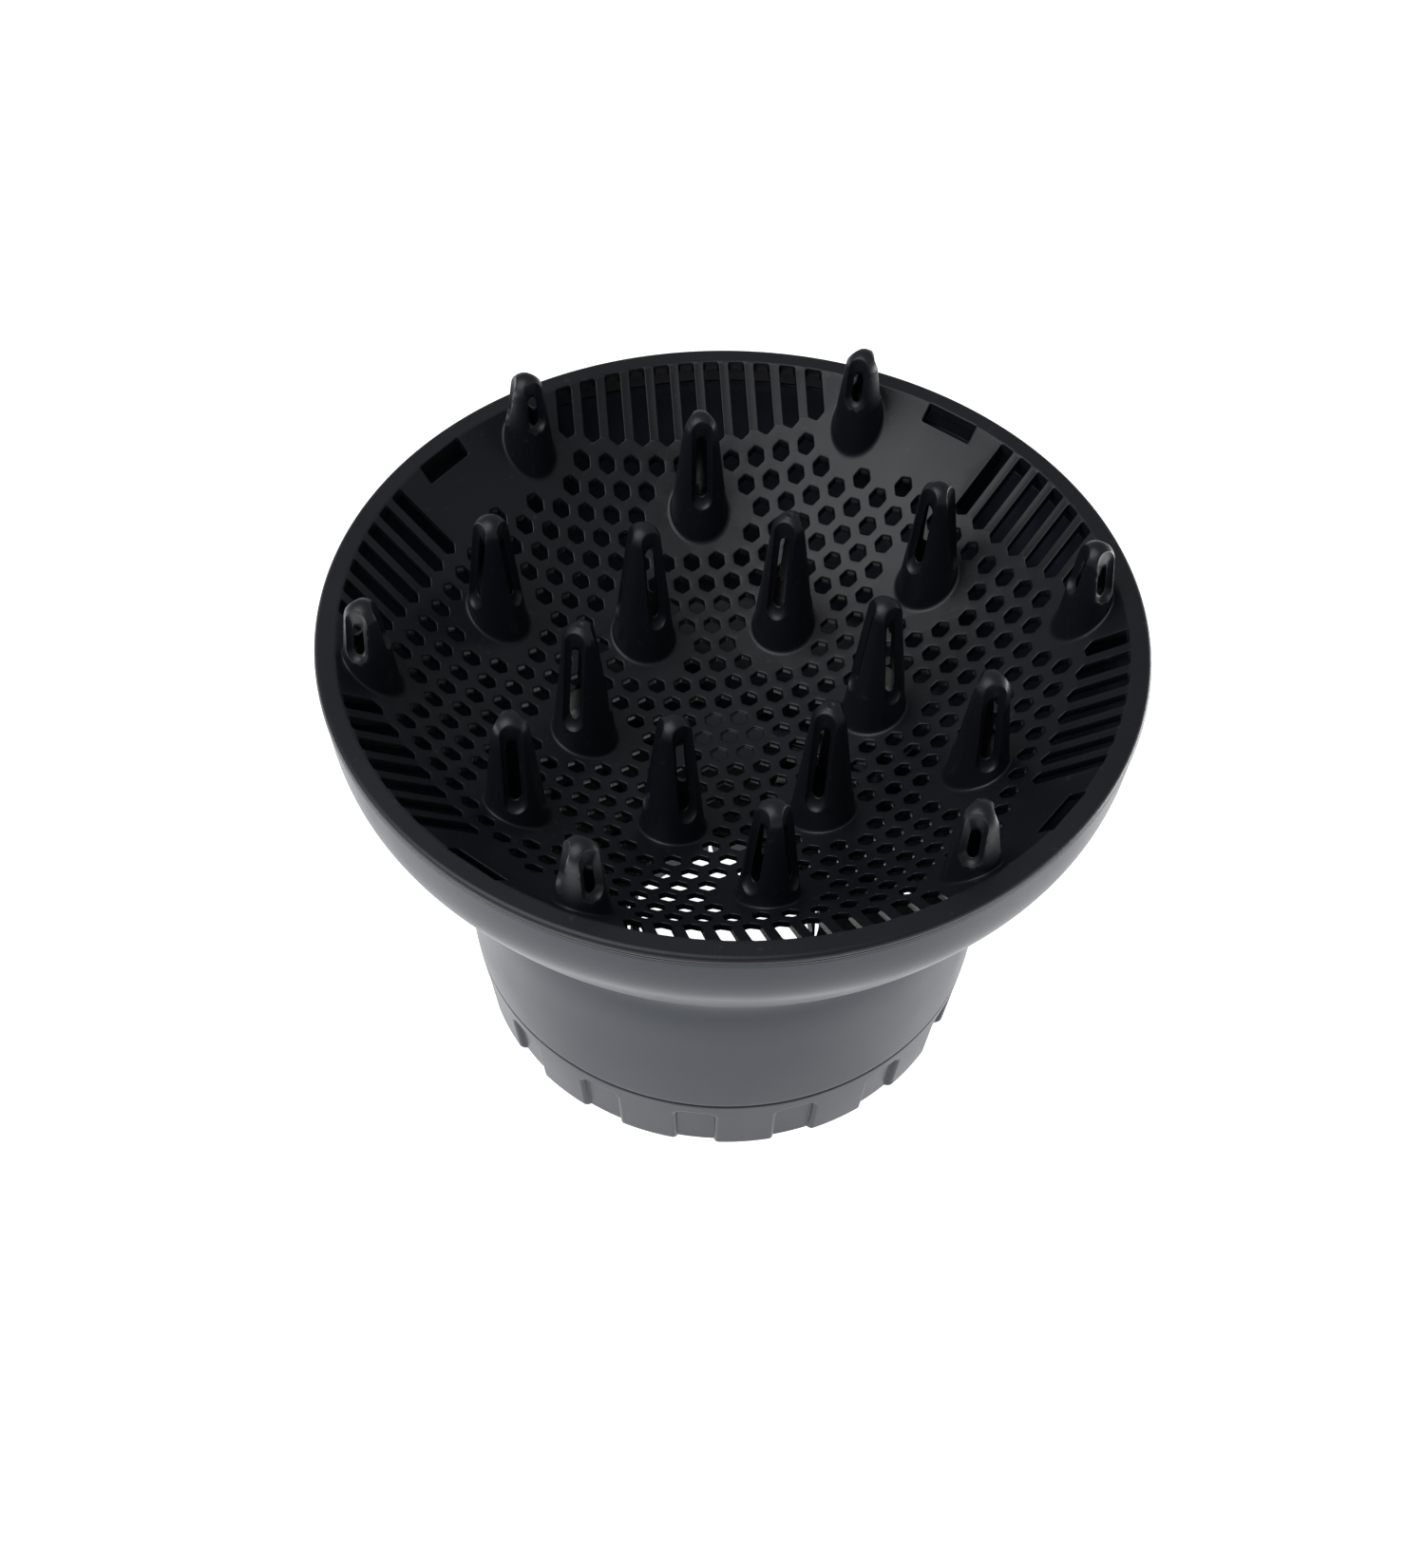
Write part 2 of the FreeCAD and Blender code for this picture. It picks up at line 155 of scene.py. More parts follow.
# ---------------------------------------------------------------- mesh helpers
class Skin:
    """Vertices and faces of one mesh, gathered in mm."""

    def __init__(self):
        self.points = []
        self.faces = []

    def add(self, points):
        first = len(self.points)
        self.points.extend(points)
        return list(range(first, len(self.points)))

    def strip(self, low, high, closed=True, flip=False):
        """Quads between two rows of vertices of equal length."""
        count = len(low)
        for k in range(count if closed else count - 1):
            n = (k + 1) % count
            quad = (low[k], low[n], high[n], high[k])
            self.faces.append(quad[::-1] if flip else quad)

    def build(self, name, material, smooth=True):
        mesh = bpy.data.meshes.new(name)
        mesh.from_pydata([(x * MM, y * MM, z * MM) for x, y, z in self.points], [], self.faces)
        mesh.validate()
        mesh.update()
        for polygon in mesh.polygons:
            polygon.use_smooth = smooth
        piece = bpy.data.objects.new(name, mesh)
        bpy.context.scene.collection.objects.link(piece)
        mesh.materials.append(material)
        return piece


def weigh_normals(piece):
    modifier = piece.modifiers.new("normals", "WEIGHTED_NORMAL")
    modifier.weight = 60
    modifier.keep_sharp = True


def polar(radius, degrees):
    angle = math.radians(degrees)
    return radius * math.cos(angle), radius * math.sin(angle)


def around(centre, radius, angle):
    """A point at a distance and an angle in radians from a centre."""
    return centre[0] + radius * math.cos(angle), centre[1] + radius * math.sin(angle)


def circle_row(radius, z, count, centre=(0.0, 0.0)):
    return [(*around(centre, radius, 2 * math.pi * k / count), z) for k in range(count)]


def turn_about(point, degrees):
    angle = math.radians(degrees)
    c, s = math.cos(angle), math.sin(angle)
    return point[0] * c - point[1] * s, point[0] * s + point[1] * c


def rounded_loop(corners, radius, steps):
    """A convex polygon (anticlockwise) with each corner rounded: points and outward directions."""
    points, outward = [], []
    count = len(corners)
    for k in range(count):
        here = Vector(corners[k])
        before = (Vector(corners[k - 1]) - here).normalized()
        after = (Vector(corners[(k + 1) % count]) - here).normalized()
        half = before.angle(after) / 2
        centre = here + (before + after).normalized() * (radius / math.sin(half))
        start = here + before * (radius / math.tan(half)) - centre
        sweep = math.pi - 2 * half
        for j in range(steps + 1):
            a = sweep * j / steps
            c, s = math.cos(a), math.sin(a)
            direction = Vector((start.x * c - start.y * s, start.x * s + start.y * c))
            points.append(centre + direction)
            outward.append(direction.normalized())
    return [tuple(p) for p in points], [tuple(o) for o in outward]


def triangulate(loops, extra):
    """Triangles between closed loops and loose points; triangles inside a hole's loop are dropped.

    `loops` holds (points, is_hole). Returns triangles as indices into all loop points, then `extra`.
    """
    points, edges, owner = [], [], []
    for number, (loop, is_hole) in enumerate(loops):
        first = len(points)
        points.extend(Vector(p) for p in loop)
        owner.extend([number if is_hole else -1] * len(loop))
        edges.extend((first + k, first + (k + 1) % len(loop)) for k in range(len(loop)))
    points.extend(Vector(p) for p in extra)
    owner.extend([-1] * len(extra))
    _, _, faces, origin, _, _ = delaunay_2d_cdt(points, edges, [], 0, 1e-6)
    kept = []
    for face in faces:
        corner = [origin[v][0] for v in face]
        owners = {owner[c] for c in corner}
        a, b, c = (points[v] for v in corner)
        if len(owners) == 1 and -1 not in owners:
            middle = (a + b + c) / 3
            if within(middle.x, middle.y, [tuple(p) for p in loops[owner[corner[0]]][0]]):
                continue
        if (b - a).cross(c - a) < 0:
            corner.reverse()
        kept.append(tuple(corner))
    return kept


def top_z(radius):
    """Height of the grille's upper face."""
    if radius < ROLL_START_R:
        return DISH_CENTRE_Z - math.sqrt(DISH_SPHERE ** 2 - radius ** 2)
    if radius < ROLL_CENTRE_R:
        return RIM_Z - ROLL + math.sqrt(ROLL ** 2 - (ROLL_CENTRE_R - radius) ** 2)
    return RIM_Z


def low_z(radius):
    """Height of the grille's lower face."""
    return DISH_CENTRE_Z - math.sqrt((DISH_SPHERE + DISH_WALL) ** 2 - radius ** 2)


def on_top(x, y, drop=0.0):
    return x, y, top_z(math.hypot(x, y)) - drop


def on_low(x, y):
    return x, y, low_z(math.hypot(x, y))


# ---------------------------------------------------------------- grille
def prong_places():
    for name, (circle, first, tip_z, foot, slot) in PRONGS.items():
        for k in range(6):
            angle = first + 60 * k
            yield name, polar(circle, angle), angle, tip_z, foot, slot


def hole_sites():
    centres = [place[1] for place in prong_places()]
    for j in range(-LAST_ROW, LAST_ROW + 1):
        for i in range(-2 * LAST_ROW, 2 * LAST_ROW + 1):
            x, y = i * PITCH / 2, j * ROW
            directions = [polar(1.0, a) for a in (30, 90, 150)]
            reach = max(abs(x * c + y * s) for c, s in directions)
            near_window = abs(abs(x) - NO_HOLE[0]) < 0.1 and abs(abs(y) - NO_HOLE[1]) < 0.1
            if (i + j) % 2 or reach > LAST_ROW * ROW + 0.1 or near_window:
                continue
            if min(math.dist((x, y), c) for c in centres) > PRONG_CLEAR:
                yield x, y


def slot_corners(y_mid, degrees):
    """An edge slot: pointed at its inner end, cut off along the rim's circle at its outer end."""
    half = SLOT_WIDTH / 2
    shoulder = SLOT_INNER + half * math.tan(math.radians(30))
    low = math.sqrt(SLOT_REACH ** 2 - (y_mid - half) ** 2)
    high = math.sqrt(SLOT_REACH ** 2 - (y_mid + half) ** 2)
    corners = [(SLOT_INNER, y_mid), (shoulder, y_mid - half), (low, y_mid - half)]
    corners += [(high, y_mid + half), (shoulder, y_mid + half)]
    return [turn_about(c, degrees) for c in corners]


def window_corners(degrees):
    low, high, width = WINDOW
    corners = [(low, -width / 2), (high, -width / 2), (high, width / 2), (low, width / 2)]
    return [turn_about(c, degrees) for c in corners]


def cone_radius(z, tip_z, foot, circle):
    """Radius of a prong's outside at height z."""
    foot_z = top_z(circle - foot) - 0.5
    rise = tip_z - foot_z - 3
    return TIP_RADIUS + (foot - TIP_RADIUS) * (tip_z - z) / rise


def foot_crossing(centre, angle, tip_z, foot):
    """Where a prong's cone meets the dish, in one direction round the prong: (radius, z)."""
    circle = math.hypot(*centre)
    c, s = math.cos(angle), math.sin(angle)
    z = top_z(circle)
    for _ in range(30):
        radius = cone_radius(z, tip_z, foot, circle)
        target = top_z(math.hypot(centre[0] + radius * c, centre[1] + radius * s))
        z += 0.6 * (target - z)
    return cone_radius(z, tip_z, foot, circle), z


def through_hole(skin, loop, outward, edge, top_loop, floor_drop=None):
    """The rounded edge and wall of one hole. `top_loop` is the vertex row already on the upper face."""
    previous = top_loop
    for part in (1, 2):
        angle = math.radians(45 * part)
        out = edge * (1 - math.sin(angle))
        drop = edge * (1 - math.cos(angle))
        row = skin.add([on_top(p[0] + o[0] * out, p[1] + o[1] * out, drop) for p, o in zip(loop, outward)])
        skin.strip(previous, row)
        previous = row
    if floor_drop is not None:
        row = skin.add([on_top(p[0], p[1], floor_drop) for p in loop])
        skin.strip(previous, row)
        skin.faces.append(tuple(row))
        return None
    row = skin.add([on_low(*p) for p in loop])
    skin.strip(previous, row)
    return row


def grille_openings():
    """Every hole, slot and window of the plate: outline, outward directions, and depth if it is blind."""
    openings = []
    for x, y in hole_sites():
        corners = [around((x, y), HOLE_FLATS / math.sqrt(3), math.radians(30 + 60 * k)) for k in range(6)]
        blind = DIMPLE_DEPTH if math.hypot(x, y) < DIMPLE_REACH else None
        openings.append((*rounded_loop(corners, HOLE_CORNER, 2), blind))
    for direction, first, last in SLOT_GROUPS:
        for k in range(first, last + 1):
            openings.append((*rounded_loop(slot_corners(k * PITCH, direction), SLOT_CORNER, 3), None))
    for k in range(4):
        openings.append((*rounded_loop(window_corners(45 + 90 * k), WINDOW_CORNER, 3), None))
    return openings


def build_grille(material):
    """Plate, rim and prongs in one skin. Plate faces are cut flat in (x, y), then lifted on to the dish."""
    skin = Skin()
    openings = grille_openings()
    prongs = [Prong(*place) for place in prong_places()]
    edge_loop = [polar(PLATE_RING, 360 * k / PLATE_STEPS) for k in range(PLATE_STEPS)]
    widened = [[(p[0] + o[0] * HOLE_EDGE, p[1] + o[1] * HOLE_EDGE) for p, o in zip(loop, outward)]
               for loop, outward, _ in openings]

    # Upper face
    feet = [prong.outline(PRONG_FILLET) for prong in prongs]
    filler = filler_points(widened + feet)
    holes = [(loop, True) for loop in widened + feet]
    hole_rows = [skin.add([on_top(*p) for p in loop]) for loop, _ in holes]
    top_edge = skin.add([on_top(*p) for p in edge_loop])
    skin.add([on_top(*p) for p in filler])
    skin.faces.extend(triangulate(holes + [(edge_loop, False)], filler))

    # Walls of the openings
    wall_rows = [through_hole(skin, loop, outward, HOLE_EDGE, row, blind)
                 for (loop, outward, blind), row in zip(openings, hole_rows)]

    # Lower face, on the lowest rows of the walls
    cores = [prong.outline(-PRONG_WALL) for prong in prongs]
    core_rows = [skin.add([on_low(*p) for p in core]) for core in cores]
    low_edge = skin.add([on_low(*p) for p in edge_loop])
    holes = [(loop, True) for loop, _, blind in openings if blind is None]
    holes += [(core, True) for core in cores]
    filler = filler_points([loop for loop, _ in holes])
    index = sum([row for row in wall_rows if row] + core_rows + [low_edge], [])
    index += skin.add([on_low(*p) for p in filler])
    for face in triangulate(holes + [(edge_loop, False)], filler):
        skin.faces.append(tuple(index[v] for v in reversed(face)))

    build_rim(skin, top_edge, low_edge)
    for prong, foot_row, core_row in zip(prongs, hole_rows[len(openings):], core_rows):
        prong.build(skin, foot_row, core_row)
    return skin.build("grille", material)


def filler_points(loops):
    """Loose points wherever the plate is plain: a triangular grid, and rings close to the rim."""
    taken = np.array([p for loop in loops for p in loop])
    spare = []
    step = PITCH / 2
    for j in range(-36, 37):
        for i in range(-32, 33):
            x = (i + 0.5 * (j % 2)) * step
            y = j * step * math.sqrt(3) / 2
            if math.hypot(x, y) < ROLL_START_R - 1.5:
                spare.append((x, y, 0.42 * step))
    for radius in (ROLL_START_R - 0.7, ROLL_START_R, ROLL_START_R + 0.3, ROLL_CENTRE_R):
        for k in range(PLATE_STEPS):
            spare.append((*polar(radius, 360 * k / PLATE_STEPS), 0.25))
    points = []
    for x, y, room in spare:
        gap = np.min((taken[:, 0] - x) ** 2 + (taken[:, 1] - y) ** 2)
        if gap > room ** 2 and not inside_any(x, y, loops):
            points.append((x, y))
    return points


def within(x, y, loop):
    """Whether a point lies in a loop, by the number of sides to its right."""
    crossings = 0
    for (ax, ay), (bx, by) in zip(loop, loop[1:] + loop[:1]):
        if (ay > y) != (by > y) and x < ax + (bx - ax) * (y - ay) / (by - ay):
            crossings += 1
    return crossings % 2 == 1


def inside_any(x, y, loops):
    """Whether a point lies in one of the loops. Only loops close by are tested."""
    for loop in loops:
        if abs(loop[0][0] - x) < 18 and abs(loop[0][1] - y) < 24 and within(x, y, loop):
            return True
    return False


def arc_points(centre, radius, start, end, steps):
    turns = [math.radians(start + (end - start) * k / steps) for k in range(steps + 1)]
    return [around(centre, radius, turn) for turn in turns]


def build_rim(skin, top_edge, low_edge):
    """The flat rim, its side band with a fine groove, and the skirt, from the plate's edge outwards."""
    side = RIM_RADIUS
    outline = [(PLATE_EDGE, RIM_Z), (82.4, RIM_Z), (side - RIM_CORNER, RIM_Z)]
    outline += arc_points((side - RIM_CORNER, RIM_Z - RIM_CORNER), RIM_CORNER, 80, 0, 7)
    outline += [(side, RIM_Z - 1.42), (side - 0.08, RIM_Z - 1.5), (side - 0.22, RIM_Z - 1.56)]
    outline += [(side - 0.22, RIM_Z - 1.66), (side - 0.1, RIM_Z - 1.74), (side - 0.06, RIM_Z - 1.84)]
    outline += [(side - 0.12, RIM_LOW_Z + 0.08), (side - 0.25, RIM_LOW_Z)]
    outline += [(SKIRT_OUT + 0.15, RIM_LOW_Z), (SKIRT_OUT, RIM_LOW_Z - 0.15), (SKIRT_OUT, SKIRT_LOW_Z + 0.3)]
    outline += [(SKIRT_OUT - 0.3, SKIRT_LOW_Z), (PLATE_EDGE + 0.3, SKIRT_LOW_Z)]
    outline += [(PLATE_EDGE, SKIRT_LOW_Z + 0.3)]
    outline += [(PLATE_EDGE, low_z(PLATE_RING) - 0.3), (PLATE_EDGE - 0.1, low_z(PLATE_RING) - 0.06)]
    previous = top_edge
    count = len(top_edge)
    for r, z in outline:
        row = skin.add(circle_row(r, z, count))
        skin.strip(row, previous)
        previous = row
    skin.strip(low_edge, previous)


def stadium(half, low, high):
    """An upright outline with round ends, anticlockwise from its right side."""
    ends = 12
    sides = 8
    points = []
    for j in range(ends + 1):
        a = math.pi * j / ends
        points.append((half * math.cos(a), high - half + half * math.sin(a)))
    for j in range(1, sides):
        points.append((-half, high - half - (high - low - 2 * half) * j / sides))
    for j in range(ends + 1):
        a = math.pi + math.pi * j / ends
        points.append((half * math.cos(a), low + half + half * math.sin(a)))
    for j in range(1, sides):
        points.append((half, low + half + (high - low - 2 * half) * j / sides))
    return points


class Prong:
    """One hollow prong on the dish: fillet, slotted cone and dome, with its inner wall.

    Heights `s` on a prong are z on the cone, and run on as arc length over the dome.
    """

    def __init__(self, name, centre, facing, tip_z, foot, slot):
        self.centre = centre
        self.tip_z = tip_z
        self.foot = foot
        self.circle = math.hypot(*centre)
        self.gate = name == "inner_prongs" and facing in GATE_MARKS
        self.angles = [2 * math.pi * k / COLUMNS for k in range(COLUMNS)]
        self.crossing = [foot_crossing(centre, a, tip_z, foot) for a in self.angles]
        self.level = max(z for _, z in self.crossing) + PRONG_FILLET + 0.15
        self.high = tip_z + TIP_RADIUS * math.radians(DOME_START)

        # The seam is the column that faces most nearly away from the dish's middle
        seam = math.radians(facing) % (2 * math.pi)
        self.nearest = min(range(COLUMNS), key=lambda k: abs(self.angles[k] - seam))
        self.ring = [self.angles[(self.nearest + k) % COLUMNS] + 2 * math.pi * (self.nearest + k >= COLUMNS)
                     for k in range(COLUMNS + 1)]
        self.middles = [self.ring[0] + math.radians(60 + 120 * k) for k in range(3)]
        in_low, in_high, out_low, out_high = (tip_z + v for v in slot)
        self.inner_outline = stadium(PRONG_SLOT_IN / 2, in_low, in_high)
        self.outer_outline = stadium(PRONG_SLOT_OUT / 2, out_low, out_high)

    def outline(self, spread):
        """The prong's foot on the dish, widened by `spread`."""
        return [around(self.centre, r + spread, a) for a, (r, _) in zip(self.angles, self.crossing)]

    def girth(self, s):
        if s <= self.tip_z:
            return cone_radius(s, self.tip_z, self.foot, self.circle)
        return TIP_RADIUS * math.cos((s - self.tip_z) / TIP_RADIUS)

    def place(self, angle, s, depth=0.0):
        """The point at an angle and height, `depth` under the outer face."""
        if s <= self.tip_z:
            return (*around(self.centre, self.girth(s) - depth, angle), s)
        lift = (s - self.tip_z) / TIP_RADIUS
        reach = TIP_RADIUS - depth
        return (*around(self.centre, reach * math.cos(lift), angle), self.tip_z + reach * math.sin(lift))

    def slot_row(self, middle, inward):
        """A slot's outline part way in: 0 at the outer face, 1 at the inner face."""
        points = []
        for (x_out, z_out), (x_in, z_in) in zip(self.outer_outline, self.inner_outline):
            x = x_out + (x_in - x_out) * inward
            s = z_out + (z_in - z_out) * inward
            if s > self.tip_z:
                s = self.tip_z + TIP_RADIUS * math.asin((s - self.tip_z) / TIP_RADIUS)
            points.append((middle + math.asin(x / self.girth(s)), s))
        return points

    def build(self, skin, foot_row, core_row):
        rim_row = self.add_fillet(skin, foot_row)
        outer_rows = self.add_sheet(skin, rim_row, 0.0)
        core_top = skin.add([self.place(a, self.level, PRONG_WALL) for a in self.angles])
        skin.strip(core_top, core_row)
        inner_rows = self.add_sheet(skin, core_top, PRONG_WALL)
        for middle, outer_row, inner_row in zip(self.middles, outer_rows, inner_rows):
            last = outer_row
            for inward, depth in SLOT_HOLLOW:
                row = skin.add([self.place(a, s, depth) for a, s in self.slot_row(middle, inward)])
                skin.strip(last, row)
                last = row
            skin.strip(last, inner_row)

    def add_fillet(self, skin, foot_row):
        """From the dish up on to the cone, then up the cone to a level row."""
        starts = [Vector(on_top(*point)) for point in self.outline(PRONG_FILLET)]
        corners = [Vector((*around(self.centre, r, a), z)) for a, (r, z) in zip(self.angles, self.crossing)]
        lows = [z + PRONG_FILLET for _, z in self.crossing]
        ends = [Vector(self.place(a, low)) for a, low in zip(self.angles, lows)]
        rows = []
        for part in (0.25, 0.5, 0.75, 1.0):
            rows.append([tuple(start * (1 - part) ** 2 + corner * 2 * part * (1 - part) + end * part ** 2)
                         for start, corner, end in zip(starts, corners, ends)])
        for part in (0.34, 0.67, 1.0):
            rows.append([self.place(a, low + (self.level - low) * part) for a, low in zip(self.angles, lows)])
        previous = foot_row
        for points in rows:
            row = skin.add(points)
            skin.strip(previous, row)
            previous = row
        return previous

    def add_sheet(self, skin, bottom, depth):
        """The outer or inner face, cut flat in (angle, s) with the slots left open, and its dome.

        Returns the vertex rows of the slots.
        """
        inner = depth > 0
        outlines = [self.slot_row(middle, 1.0 if inner else 0.0) for middle in self.middles]
        ring, level, high = self.ring, self.level, self.high
        bend = high - DOME_ROWS * DOME_STEP
        heights = [level + (bend - level) * j / CONE_ROWS for j in range(1, CONE_ROWS + 1)]
        heights += [bend + DOME_STEP * j for j in range(1, DOME_ROWS)]
        boundary = [(a, level) for a in ring] + [(ring[-1], s) for s in heights]
        boundary += [(a, high) for a in reversed(ring)] + [(ring[0], s) for s in reversed(heights)]
        boundary, *slots = [[(a * ANGLE_SCALE, s) for a, s in loop] for loop in [boundary] + outlines]
        taken = np.array([p for loop in slots for p in loop])
        spare = []
        for s in heights:
            for x in (a * ANGLE_SCALE for a in ring[1:-1]):
                gap = np.min((taken[:, 0] - x) ** 2 + (taken[:, 1] - s) ** 2)
                if gap > SLOT_ROOM ** 2 and not inside_any(x, s, slots):
                    spare.append((x, s))
        triangles = triangulate([(boundary, False)] + [(loop, True) for loop in slots], spare)

        seam_column = skin.add([self.place(ring[0], s, depth) for s in heights])
        top_row = skin.add([self.place(a, high, depth) for a in self.angles])
        index = [bottom[(self.nearest + k) % COLUMNS] for k in range(COLUMNS + 1)]
        index += seam_column
        index += [top_row[(self.nearest + k) % COLUMNS] for k in range(COLUMNS, -1, -1)]
        index += reversed(seam_column)
        slot_rows = [skin.add([self.place(a, s, depth) for a, s in outline]) for outline in outlines]
        index += sum(slot_rows, [])
        index += skin.add([self.place(x / ANGLE_SCALE, s, depth) for x, s in spare])
        for face in triangles:
            corner = tuple(index[v] for v in face)
            if len(set(corner)) == 3:
                skin.faces.append(corner[::-1] if inner else corner)
        self.add_dome(skin, top_row, TIP_RADIUS - depth, inner)
        return slot_rows

    def add_dome(self, skin, last, radius, inner):
        """The top of the dome, with a small raised ring where the mould was filled."""
        rings = [polar(radius, lift) for lift in (DOME_START + 2, DOME_START + 4.5)]
        if self.gate and not inner:
            for r, lift in GATE_RING:
                rings.append((r, math.sqrt(radius ** 2 - r ** 2) + lift))
        else:
            rings.append(polar(radius, 81))
        for r, z in rings:
            row = skin.add(circle_row(r, self.tip_z + z, COLUMNS, self.centre))
            skin.strip(last, row, flip=inner)
            last = row
        pole = skin.add([(*self.centre, self.tip_z + radius)])[0]
        for k in range(COLUMNS):
            corner = (last[k], last[(k + 1) % COLUMNS], pole)
            skin.faces.append(corner[::-1] if inner else corner)


# ---------------------------------------------------------------- shell, grip ring and mechanism
def through_points(points, count):
    """A smooth curve through (r, z) points: a natural cubic spline over chord length."""
    knots = np.array(points, float)
    steps = np.sqrt(np.sum(np.diff(knots, axis=0) ** 2, axis=1))
    at = np.concatenate([[0], np.cumsum(steps)])
    n = len(at)
    matrix = np.zeros((n, n))
    wanted = np.zeros((n, 2))
    matrix[0, 0] = matrix[-1, -1] = 1
    for k in range(1, n - 1):
        matrix[k, k - 1:k + 2] = steps[k - 1], 2 * (steps[k - 1] + steps[k]), steps[k]
        wanted[k] = 6 * ((knots[k + 1] - knots[k]) / steps[k] - (knots[k] - knots[k - 1]) / steps[k - 1])
    bend = np.linalg.solve(matrix, wanted)
    curve = []
    for u in np.linspace(0, at[-1], count):
        k = min(int(np.searchsorted(at, u, side="right")) - 1, n - 2)
        a, b, h = at[k + 1] - u, u - at[k], steps[k]
        point = (bend[k] * a ** 3 + bend[k + 1] * b ** 3) / (6 * h)
        point += (knots[k] / h - bend[k] * h / 6) * a + (knots[k + 1] / h - bend[k + 1] * h / 6) * b
        curve.append((float(point[0]), float(point[1])))
    return curve


def revolve_closed(skin, outline, count):
    """Turn a closed outline of (r, z) points, anticlockwise with r to the right, about the Z axis."""
    rows = [skin.add(circle_row(r, z, count)) for r, z in outline]
    for low, high in zip(rows, rows[1:] + rows[:1]):
        skin.strip(low, high)


def upright(skin, centre, radius, low, high, edge=0.4, bore=0.0, count=32):
    """A round post with softened ends, hollow when `bore` is given."""
    outline = [(radius - edge, low), (radius - edge * 0.3, low + edge * 0.3), (radius, low + edge)]
    outline += [(radius, high - edge), (radius - edge * 0.3, high - edge * 0.3), (radius - edge, high)]
    outline += [(max(bore, 0.01), high), (max(bore, 0.01), low)]
    rows = [skin.add(circle_row(r, z, count, centre)) for r, z in outline]
    for lower, upper in zip(rows, rows[1:] + rows[:1]):
        skin.strip(lower, upper)


def shell_outline():
    """The shell's wall as a closed outline of (r, z): the outside, the lip and the inside."""
    outside = through_points(NECK_OUTSIDE + BOWL_OUTSIDE, 90)
    inside = []
    for k in range(len(outside)):
        before, after = outside[max(k - 1, 0)], outside[min(k + 1, len(outside) - 1)]
        along = Vector((after[0] - before[0], after[1] - before[1])).normalized()
        r, z = outside[k][0] - SHELL_WALL * along.y, outside[k][1] + SHELL_WALL * along.x
        if NECK_LOW_Z + 0.5 < z < LIP_LOW_Z - 1.0:
            inside.append((r, z))
    top = outside[-1]
    foot = outside[0]
    outline = [(foot[0] - 0.35, NECK_LOW_Z), (foot[0] - 0.08, NECK_LOW_Z + 0.1)]
    outline += [(foot[0], NECK_LOW_Z + 0.35)] + outside[1:-1]
    outline += [(top[0], top[1] - 0.3), (top[0] - 0.1, top[1] - 0.08), (top[0] - 0.35, top[1])]
    outline += [(LIP_RADIUS + 0.2, top[1]), (LIP_RADIUS, top[1] - 0.2), (LIP_RADIUS, LIP_LOW_Z)]
    outline += [(inside[-1][0] + 0.2, LIP_LOW_Z), (inside[-1][0], LIP_LOW_Z - 0.3)]
    outline += inside[::-1]
    return outline + [(inside[0][0], NECK_LOW_Z + 0.3), (inside[0][0] + 0.3, NECK_LOW_Z)]


def build_shell(material):
    skin = Skin()
    revolve_closed(skin, shell_outline(), 256)
    shell = skin.build("shell_body", material)
    posts = Skin()
    for k in range(6):
        upright(posts, polar(BOSS_CIRCLE, 30 + 60 * k), BOSS_RADIUS, *BOSS_Z, edge=0.5, bore=BOSS_BORE)
    posts = posts.build("shell_bosses", material)
    webs = Skin()
    inner = BOSS_CIRCLE + 2.6
    for k in range(6):
        corners = [(inner, NECK_LOW_Z + 0.8), (WEB_OUTER[0], NECK_LOW_Z + 0.8)]
        corners += [(WEB_OUTER[1], BOSS_Z[1] - 0.5), (inner, BOSS_Z[1] - 4.5)]
        narrow = WEB_HALF - WEB_EDGE
        rows = []
        for across, inset in ((-narrow, WEB_EDGE), (-WEB_HALF, 0.0), (WEB_HALF, 0.0), (narrow, WEB_EDGE)):
            row = []
            for r, z in corners:
                reach = r + inset if r == inner else r
                row.append((*turn_about((reach, across), 30 + 60 * k), z))
            rows.append(webs.add(row))
        for low, high in zip(rows, rows[1:]):
            webs.strip(low, high)
        webs.faces.append(tuple(rows[0][::-1]))
        webs.faces.append(tuple(rows[-1]))
    webs = webs.build("shell_webs", material, smooth=False)
    for piece in (shell, posts, webs):
        weigh_normals(piece)
        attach(piece, "diffuser")
        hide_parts("shell")


def ring_outside(z):
    """Radius of the grip ring's plain outside, with its rounded foot and top."""
    foot, top = RING_RADII
    radius = foot + (top - foot) * z / RING_HIGH_Z
    for edge, gap in ((FOOT_ROUND, z), (TOP_ROUND, RING_HIGH_Z - z)):
        if gap < edge:
            radius -= edge - math.sqrt(edge ** 2 - (edge - gap) ** 2)
    return radius


def pocket_share(across, z):
    """Depth of a pocket at a point, 0 to 1, with its edge rounded over. Its middle is at `across` 0."""
    half = RING_RADII[0] * math.sin(math.radians(POCKET_SPAN / 2))
    corner_x, corner_z = half - POCKET_CORNER, POCKET_HIGH_Z - POCKET_CORNER
    dx, dz = max(abs(across) - corner_x, 0.0), max(z - corner_z, 0.0)
    outside = math.hypot(dx, dz) - POCKET_CORNER if dx > 0 or dz > 0 else -POCKET_CORNER
    if dx == 0 or dz == 0:
        outside = max(abs(across) - half, z - POCKET_HIGH_Z)
    inward = min(1.0, max(0.0, -outside / POCKET_EDGE))
    return 1 - math.sqrt(1 - inward ** 2)


